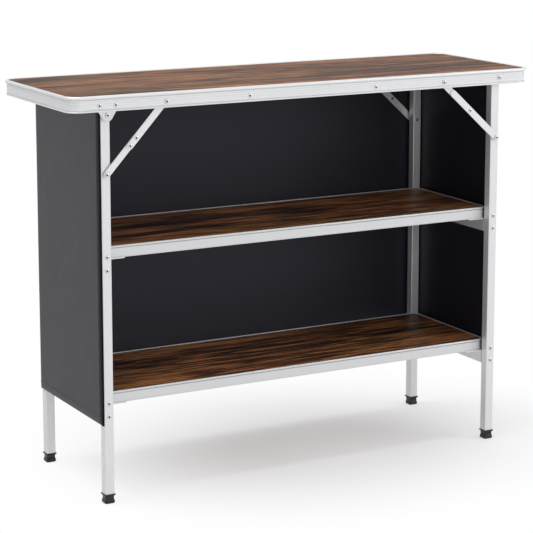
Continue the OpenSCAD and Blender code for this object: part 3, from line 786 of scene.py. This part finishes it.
def ribTree():
    tree, inp, out = newTree("ribRound", *[(label, "Float", None) for label in (
        "Length", "Depth", "Corner", "Radius", "Height")])
    box = addNode(tree, "GeometryNodeCurvePrimitiveQuadrilateral", {"Width": inp["Length"],
                                                                    "Height": inp["Depth"]})
    rounded = addNode(tree, "GeometryNodeFilletCurve", {
        "Curve": box.outputs[0], "Radius": inp["Corner"], "Count": ribSizes["cornerSteps"]}, mode="POLY")
    profile = addNode(tree, "GeometryNodeCurvePrimitiveCircle", {"Radius": inp["Radius"],
                                                                 "Resolution": ribSizes["profileSteps"]})
    swept = addNode(tree, "GeometryNodeCurveToMesh", {"Curve": rounded.outputs[0],
                                                      "Profile Curve": profile.outputs[0]})
    lift = addNode(tree, "ShaderNodeCombineXYZ", {2: inp["Height"]})
    moved = addNode(tree, "GeometryNodeTransform", {"Geometry": swept.outputs[0],
                                                    "Translation": lift.outputs[0]})
    painted = addNode(tree, "GeometryNodeSetMaterial", {"Geometry": moved.outputs[0],
                                                        "Material": inp["Finish"]})
    tree.links.new(painted.outputs[0], out[0])
    return tree


def makeRibs(name, stem, kind, body):
    s = ribSizes[kind]
    front, left = (nodeBox(stem + rim)[0] for rim in ("rim_front", "rim_left"))
    back, right = (nodeBox(stem + rim)[1] for rim in ("rim_rear", "rim_right"))
    for i, height in enumerate(s["heights"]):
        # the tree fills an empty mesh
        rib = bakeTree(newObject(f"{name}_{i + 1}", [], []), ribs, {
            "Length": right.x - left.x - 2 * s["inset"], "Depth": back.y - front.y - 2 * s["inset"],
            "Corner": s["corner"], "Radius": s["radius"], "Height": left.z + height,
            "Finish": materials["barX"]})
        dress(rib, materials["barX"])
        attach(rib, body)


ribs = ribTree()
makeRibs("table_rim_rib", "", "table", "tabletop")
for shelf in ("mid", "low"):
    makeRibs(shelf + "_rim_rib", shelf + "_shelf_", "shelf", shelf + "_shelf")
print("stage: rim ribs swept")


# Rivet heads: a node tree sets one turned head on each rivet of a body

rivetSizes = {
    "radius": 5.2 * mm,
    "dome": 1.35 * mm,
    "dimple": 2.3 * mm,
    "below": 0.2 * mm,  # how far the head goes on below its seat
    "segments": 24,
    # (share of the radius, share of the dome) from the edge inwards
    "shoulder": [(1, 0.15), (0.94, 0.42), (0.78, 0.76), (0.58, 0.96)],
    # (share of the dimple, share of the dome) from the dimple's edge inwards
    "hollow": [(1, 1), (0.86, 0.82), (0.8, 0.35), (0.4, 0.3)],
    "hollowCentre": 0.42,
    # painted shade: inside the first share of the dimple the head is dark, and outside the second share of
    # the radius it is partly dark, as in the gap under the head
    "hollowMark": 0.9,  # inside this share of the dimple the head is dark
    "edgeMark": 0.97,  # outside this share of the radius it is shaded
    "edgeShade": 0.75,
    # how far a head sinks, as a share of the dome: over a rivet that it replaces, over a pin that stays
    "sinkReplaced": 0.9,
    "sinkKept": 0.15,
}


def rivetMesh():
    # a pulled rivet's head: flat rim, round shoulder and a hollow in the middle, turned about Z
    s = rivetSizes
    radius, dome, dimple, n = s["radius"], s["dome"], s["dimple"], s["segments"]
    profile = [(radius, -s["below"])]
    profile += [(a * radius, b * dome) for a, b in s["shoulder"]]
    profile += [(a * dimple, b * dome) for a, b in s["hollow"]]
    turns = [2 * math.pi * i / n for i in range(n)]
    verts = [(a * math.cos(turn), a * math.sin(turn), z) for a, z in profile for turn in turns]
    verts += [(0, 0, s["hollowCentre"] * dome), (0, 0, -s["below"])]
    top = len(profile) * n
    faces = [(k * n + i, k * n + (i + 1) % n, (k + 1) * n + (i + 1) % n, (k + 1) * n + i)
             for k in range(len(profile) - 1) for i in range(n)]
    faces += [(top - n + i, top - n + (i + 1) % n, top) for i in range(n)]
    faces += [((i + 1) % n, i, top + 1) for i in range(n)]
    obj = newObject("rivet_pattern", verts, faces)
    # the mark is 1 where shade is painted into the hollow and the edge's share where shade is painted round
    # the head's edge
    hollow = obj.data.attributes.new("hollow", "FLOAT", "POINT")
    for i, vert in enumerate(obj.data.vertices):
        reach = math.hypot(vert.co.x, vert.co.y)
        shadedHole = reach < s["hollowMark"] * dimple and vert.co.z > 0
        shadedEdge = reach > s["edgeMark"] * radius
        hollow.data[i].value = 1.0 if shadedHole else s["edgeShade"] if shadedEdge else 0.0
    return obj


def rivetTree():
    tree, inp, out = newTree("rivetHeads", ("Geometry", "Geometry", None), ("Head", "Object", None))
    head = addNode(tree, "GeometryNodeObjectInfo", {"Object": inp["Head"]})
    facing = addNode(tree, "GeometryNodeInputNamedAttribute", {"Name": "facing"}, data_type="FLOAT_VECTOR")
    turn = addNode(tree, "FunctionNodeAlignRotationToVector", {"Vector": facing.outputs["Attribute"]},
                   axis="Z")
    placed = addNode(tree, "GeometryNodeInstanceOnPoints", {
        "Points": inp["Geometry"], "Instance": head.outputs["Geometry"], "Rotation": turn.outputs[0]})
    real = addNode(tree, "GeometryNodeRealizeInstances", {"Geometry": placed.outputs[0]})
    painted = addNode(tree, "GeometryNodeSetMaterial", {"Geometry": real.outputs[0],
                                                        "Material": inp["Finish"]})
    tree.links.new(painted.outputs[0], out[0])
    return tree


def islands(name):
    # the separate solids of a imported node, as (low corner, high corner)
    bm = bmesh.new()
    bm.from_mesh(nodes[name].data)
    bmesh.ops.remove_doubles(bm, verts=bm.verts, dist=hair)
    seen, found = set(), []
    for start in bm.verts:
        if start in seen:
            continue
        stack, group = [start], []
        seen.add(start)
        while stack:
            vert = stack.pop()
            group.append(vert.co.copy())
            for edge in vert.link_edges:
                other = edge.other_vert(vert)
                if other not in seen:
                    seen.add(other)
                    stack.append(other)
        found.append((Vector([min(p[k] for p in group) for k in range(3)]),
                      Vector([max(p[k] for p in group) for k in range(3)])))
    bm.free()
    return found


def makeRivets(name, sources, body, replaced=(), outermost=0):
    # one head on the outer end of each pin or rivet; front ones face -Y and rear ones +Y
    places, facings = [], []
    for source in sources:
        sunk = rivetSizes["dome"] * rivetSizes["sinkReplaced" if source in replaced else "sinkKept"]
        for low, high in islands(source):
            front = (low.y + high.y) < 0
            y = low.y + sunk if front else high.y - sunk
            if abs(y) < outermost:
                continue
            places.append(((low.x + high.x) / 2, y, (low.z + high.z) / 2))
            facings.append((0, -1, 0) if front else (0, 1, 0))
    mesh = bpy.data.meshes.new(name)
    mesh.from_pydata(places, [], [])
    attr = mesh.attributes.new("facing", "FLOAT_VECTOR", "POINT")
    for i, facing in enumerate(facings):
        attr.data[i].vector = facing
    obj = bakeTree(linked(name, mesh), heads, {"Head": pattern, "Finish": materials["rivet"]})
    for face in obj.data.polygons:
        face.use_smooth = True
    dress(obj, materials["rivet"])
    if replaced:
        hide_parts(*replaced)
    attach(obj, body)


heads = rivetTree()
pattern = rivetMesh()
makeRivets("rim_rivet_heads", ["rim_rivets", "brace_anchor_pins", "leg_pivot_pins"], "tabletop",
           ["rim_rivets"], outermost=nodeBox("rim_rear")[1].y - 2 * rivetSizes["radius"])
for side in ("left", "right"):
    makeRivets(side + "_leg_rivet_heads", [side + "_leg_rivets"], side + "_frame", [side + "_leg_rivets"])
    makeRivets(side + "_stud_heads", [side + "_brace_studs"], side + "_frame")
    outerBar = "_upper_brace" if side == "left" else "_lower_brace"
    for row in ("front", "rear"):
        stem = f"{side}_{row}"
        knees = [stem + "_knee_rivets"]
        makeRivets(stem + "_knee_heads", knees, stem + outerBar, knees)
bpy.data.objects.remove(pattern)
print("stage: rivet heads set")


# Feet: a moulded flange, a narrow neck and a rounded pad, lofted from rounded squares

footSizes = {
    # (height, half width, corner radius) in millimetres, up the foot
    "profile": [(0.0, 9.6, 3.0), (0.5, 11.0, 4.0), (1.4, 11.9, 4.6), (3.4, 12.3, 5.0), (6.4, 12.2, 4.8),
                (7.8, 11.6, 4.0), (9.0, 10.5, 2.6), (10.6, 10.0, 1.6), (15.0, 10.0, 1.4),
                (17.4, 10.5, 1.2), (18.8, 11.7, 1.2), (19.4, 12.5, 1.2), (19.9, 12.8, 1.2),
                (21.5, 12.8, 1.2), (22.0, 12.5, 1.2)],
    "plugHalf": 9.2,
    "plugTall": 14.0,
    "plugCorner": 0.6,
    "cornerSteps": 5,
}


def roundedSquare(half, radius, steps):
    points = []
    for quarter in range(4):
        mid = math.pi / 4 + quarter * math.pi / 2
        cx = math.copysign(half - radius, math.cos(mid))
        cy = math.copysign(half - radius, math.sin(mid))
        for i in range(steps + 1):
            turn = quarter * math.pi / 2 + (math.pi / 2) * i / steps
            points.append((cx + radius * math.cos(turn), cy + radius * math.sin(turn)))
    return points


def makeFoot(side, row):
    s = footSizes
    name = f"{side}_{row}_foot"
    centre = middle(name)
    top = s["profile"][-1][0]
    scale = nodeBox(f"{side}_{row}_leg")[0].z / top  # from the profile's millimetres to the leg's lower end
    plug = [(z, s["plugHalf"], s["plugCorner"]) for z in (top, top + s["plugTall"])]
    sections = s["profile"] + plug
    verts, faces = [], []
    for z, half, radius in sections:
        verts += [(centre.x + x * mm, centre.y + y * mm, z * scale)
                  for x, y in roundedSquare(half, radius, s["cornerSteps"])]
    n = len(verts) // len(sections)
    for k in range(len(sections) - 1):
        faces += [(k * n + i, k * n + (i + 1) % n, (k + 1) * n + (i + 1) % n, (k + 1) * n + i)
                  for i in range(n)]
    faces.append(tuple(reversed(range(n))))
    faces.append(tuple(range(len(verts) - n, len(verts))))
    foot = newObject(name + "_moulded", verts, faces)
    for face in foot.data.polygons:
        face.use_smooth = len(face.vertices) == 4
    dress(foot, materials["plastic"])
    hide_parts(name)
    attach(foot, side + "_frame")


for side in ("left", "right"):
    for row in ("front", "rear"):
        makeFoot(side, row)
print("stage: feet moulded")


# Studio: pale floor, white surroundings and soft lamps

studio = {
    "floorHalf": 30,
    "floorColour": (0.93, 0.93, 0.935),
    "floorRoughness": 0.9,
    "floorSpecular": 0.1,
    "floorLift": (0.30, 1.0),  # share of plain white that the camera sees in the floor, near and far
    "liftCentre": (0.14, -0.04, 0.0),
    "liftFrom": 0.15,  # metres from that centre at which the floor starts to clear to white
    "liftTo": 0.88,
    # brightness of the light that falls on matt surfaces, round the table: -1 and 1 are behind it,
    # 0 in front, 0.5 to its right
    "falling": [(-1.0, 0.30), (-0.74, 0.26), (-0.50, 0.16), (-0.30, 0.24), (0.0, 0.76), (0.16, 0.84),
                (0.45, 0.64), (1.0, 0.38)],
    "fallingAbove": 0.74,
    "aboveFrom": 0.45,  # upward share of a direction at which the light from above begins
    "aboveTo": 0.85,
    "lampAim": (0, 0, 0.45),
}

lamps = {
    "sideLamp": {"at": (3.6, -2.6, 2.2), "size": 2.4, "power": 46, "glossy": True},
    "leftLamp": {"at": (-4.2, -2.3, 1.4), "size": 1.6, "power": 1, "glossy": True},
    "frontLamp": {"at": (-0.2, -4.6, 1.5), "size": 2.0, "power": 54, "glossy": False},
    "topLamp": {"at": (-1.5, 0.2, 4.2), "size": 2.4, "power": 90, "glossy": True},
}


def plainRays(tree):
    # 1 for the rays that see a plain white studio: camera, mirror-like and see-through ones
    path = tree.nodes.new("ShaderNodeLightPath").outputs
    shows = math2(tree, "MAXIMUM", path["Is Camera Ray"], path["Is Glossy Ray"])
    return math2(tree, "MAXIMUM", shows, path["Is Transmission Ray"])


def makeFloor():
    half = studio["floorHalf"]
    corners = [(-half, -half, 0), (half, -half, 0), (half, half, 0), (-half, half, 0)]
    floor = newObject("floor", corners, [(0, 1, 2, 3)], smooth=False)
    mat, tree, surface = blankMaterial("paleFloor")
    surface.inputs["Base Color"].default_value = (*studio["floorColour"], 1)
    surface.inputs["Roughness"].default_value = studio["floorRoughness"]
    surface.inputs["Specular IOR Level"].default_value = studio["floorSpecular"]
    white = addNode(tree, "ShaderNodeEmission", {"Strength": 1.0})
    place = tree.nodes.new("ShaderNodeTexCoord")
    away = addNode(tree, "ShaderNodeVectorMath", {0: place.outputs["Object"], 1: studio["liftCentre"]},
                   operation="DISTANCE").outputs["Value"]
    near, far = studio["floorLift"]
    lift = mapped(tree, away, fromMin=studio["liftFrom"], fromMax=studio["liftTo"], toMin=near, toMax=far,
                  kind="SMOOTHSTEP")
    seen = math2(tree, "MULTIPLY", plainRays(tree), lift)
    mix = addNode(tree, "ShaderNodeMixShader", {0: seen, 1: surface.outputs[0], 2: white.outputs[0]})
    tree.links.new(mix.outputs[0], tree.nodes["Material Output"].inputs["Surface"])
    dress(floor, mat)


def makeWorld():
    world = bpy.data.worlds.new("studio")
    world.use_nodes = True
    tree = world.node_tree
    bpy.context.scene.world = world
    background = tree.nodes["Background"]
    background.inputs["Color"].default_value = (1, 1, 1, 1)
    place = tree.nodes.new("ShaderNodeTexCoord")
    parts = addNode(tree, "ShaderNodeSeparateXYZ", {0: place.outputs["Generated"]})
    back = math2(tree, "MULTIPLY", parts.outputs[1], -1.0)
    turn = math2(tree, "DIVIDE", math2(tree, "ARCTAN2", parts.outputs[0], back), math.pi)
    across = mapped(tree, turn, fromMin=-1.0, fromMax=1.0)
    high = mapped(tree, parts.outputs[2], fromMin=studio["aboveFrom"], fromMax=studio["aboveTo"],
                  kind="SMOOTHSTEP")
    side = ramp(tree, across, [((at + 1) / 2, (level,) * 3) for at, level in studio["falling"]])
    lit = addNode(tree, "ShaderNodeMix", {0: high, 2: side, 3: studio["fallingAbove"]}).outputs[0]
    shown = addNode(tree, "ShaderNodeMix", {0: plainRays(tree), 2: lit, 3: 1.0})
    tree.links.new(shown.outputs[0], background.inputs["Strength"])


def makeLamp(name, values):
    data = bpy.data.lights.new(name, "AREA")
    data.size = values["size"]
    data.energy = values["power"]
    lamp = linked(name, data)
    lamp.location = values["at"]
    lamp.visible_glossy = values["glossy"]
    aim = Vector(studio["lampAim"]) - Vector(values["at"])
    lamp.rotation_mode = "QUATERNION"
    lamp.rotation_quaternion = aim.to_track_quat("-Z", "Y")


# turn and dip in degrees, lens and sensor in millimetres
cameraView = {"at": (-2.213, -4.0335, 1.4487), "turn": 28.583, "dip": 9.903, "lens": 133.26, "sensor": 36,
              "shift": -0.15}


def makeCamera():
    data = bpy.data.cameras.new("camera")
    data.sensor_width = cameraView["sensor"]
    data.lens = cameraView["lens"]
    data.shift_y = cameraView["shift"]
    camera = linked("camera", data)
    camera.location = cameraView["at"]
    camera.rotation_euler = (math.radians(90 - cameraView["dip"]), 0, -math.radians(cameraView["turn"]))
    bpy.context.scene.camera = camera


makeFloor()
makeWorld()
for lampName, lampValues in lamps.items():
    makeLamp(lampName, lampValues)
makeCamera()
bpy.context.scene.view_settings.view_transform = "Standard"
print("stage: studio lit")
